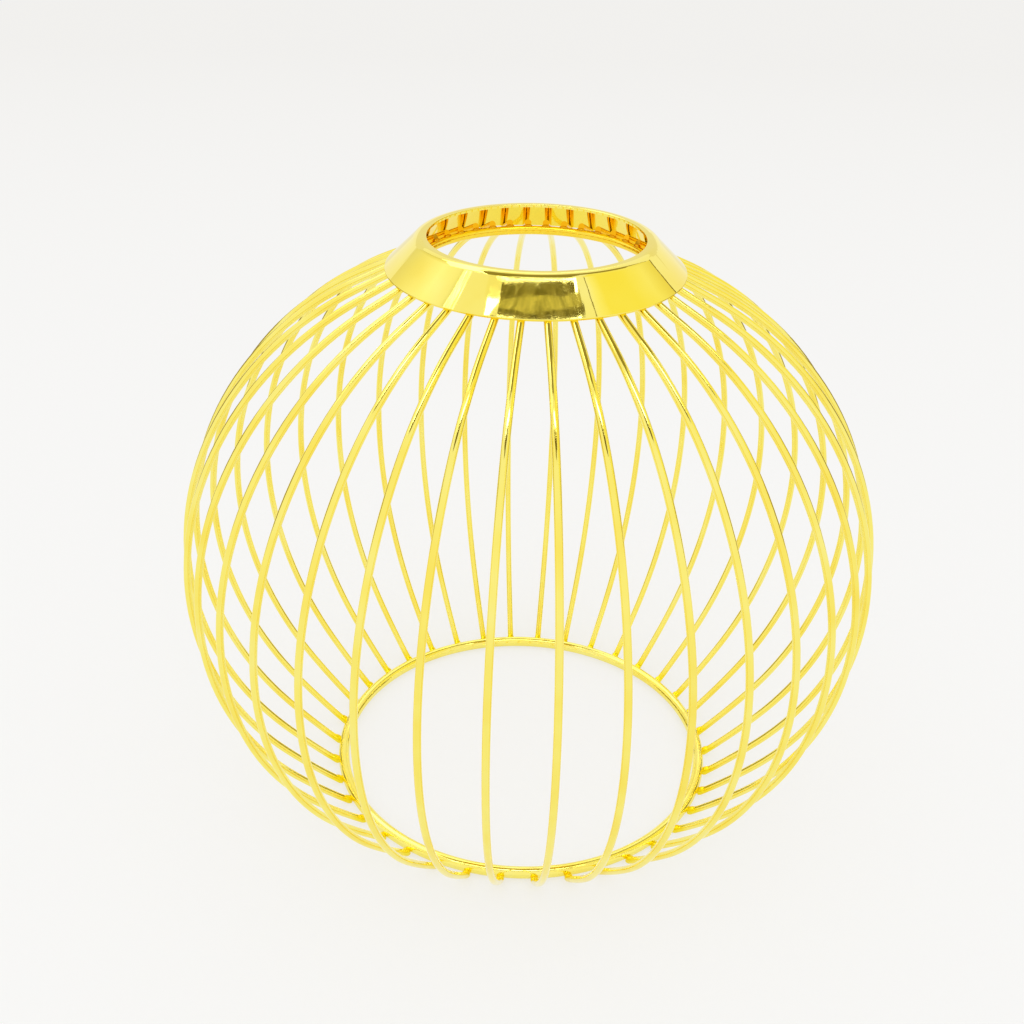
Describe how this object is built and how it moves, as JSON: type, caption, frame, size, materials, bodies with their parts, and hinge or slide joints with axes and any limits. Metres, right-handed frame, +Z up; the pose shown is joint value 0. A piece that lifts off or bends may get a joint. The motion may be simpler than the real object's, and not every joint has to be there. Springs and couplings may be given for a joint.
{
  "type": "wire globe lampshade",
  "caption": "Globe lampshade cage of curved round-wire ribs between a small neck ring and a larger base ring, with a conical sheet collar round the lamp-holder hole.",
  "frame": {"origin": "on the globe's axis, level with the underside of the base ring that it stands on", "axes": "+Z up along the globe's axis, through the base ring, the neck ring and the collar's hole; -Y is the front, midway between two ribs"},
  "size_m": [0.202, 0.2012, 0.1738],
  "materials": {
    "gold_wire": "gold electroplate on drawn steel wire, polished",
    "gold_sheet": "gold electroplate on spun steel sheet, polished"
  },
  "bodies": {
    "root": {"collar": "gold_sheet", "neck_ring": "gold_wire", "base_ring": "gold_wire", "rib_01": "gold_wire", "rib_02": "gold_wire", "rib_03": "gold_wire", "rib_04": "gold_wire", "rib_05": "gold_wire", "rib_06": "gold_wire", "rib_07": "gold_wire", "rib_08": "gold_wire", "rib_09": "gold_wire", "rib_10": "gold_wire", "rib_11": "gold_wire", "rib_12": "gold_wire", "rib_13": "gold_wire", "rib_14": "gold_wire", "rib_15": "gold_wire", "rib_16": "gold_wire", "rib_17": "gold_wire", "rib_18": "gold_wire", "rib_19": "gold_wire", "rib_20": "gold_wire", "rib_21": "gold_wire", "rib_22": "gold_wire", "rib_23": "gold_wire", "rib_24": "gold_wire", "rib_25": "gold_wire", "rib_26": "gold_wire", "rib_27": "gold_wire", "rib_28": "gold_wire", "rib_29": "gold_wire", "rib_30": "gold_wire", "rib_31": "gold_wire", "rib_32": "gold_wire", "rib_33": "gold_wire", "rib_34": "gold_wire", "rib_35": "gold_wire", "rib_36": "gold_wire", "rib_37": "gold_wire", "rib_38": "gold_wire"}
  },
  "joints": []
}
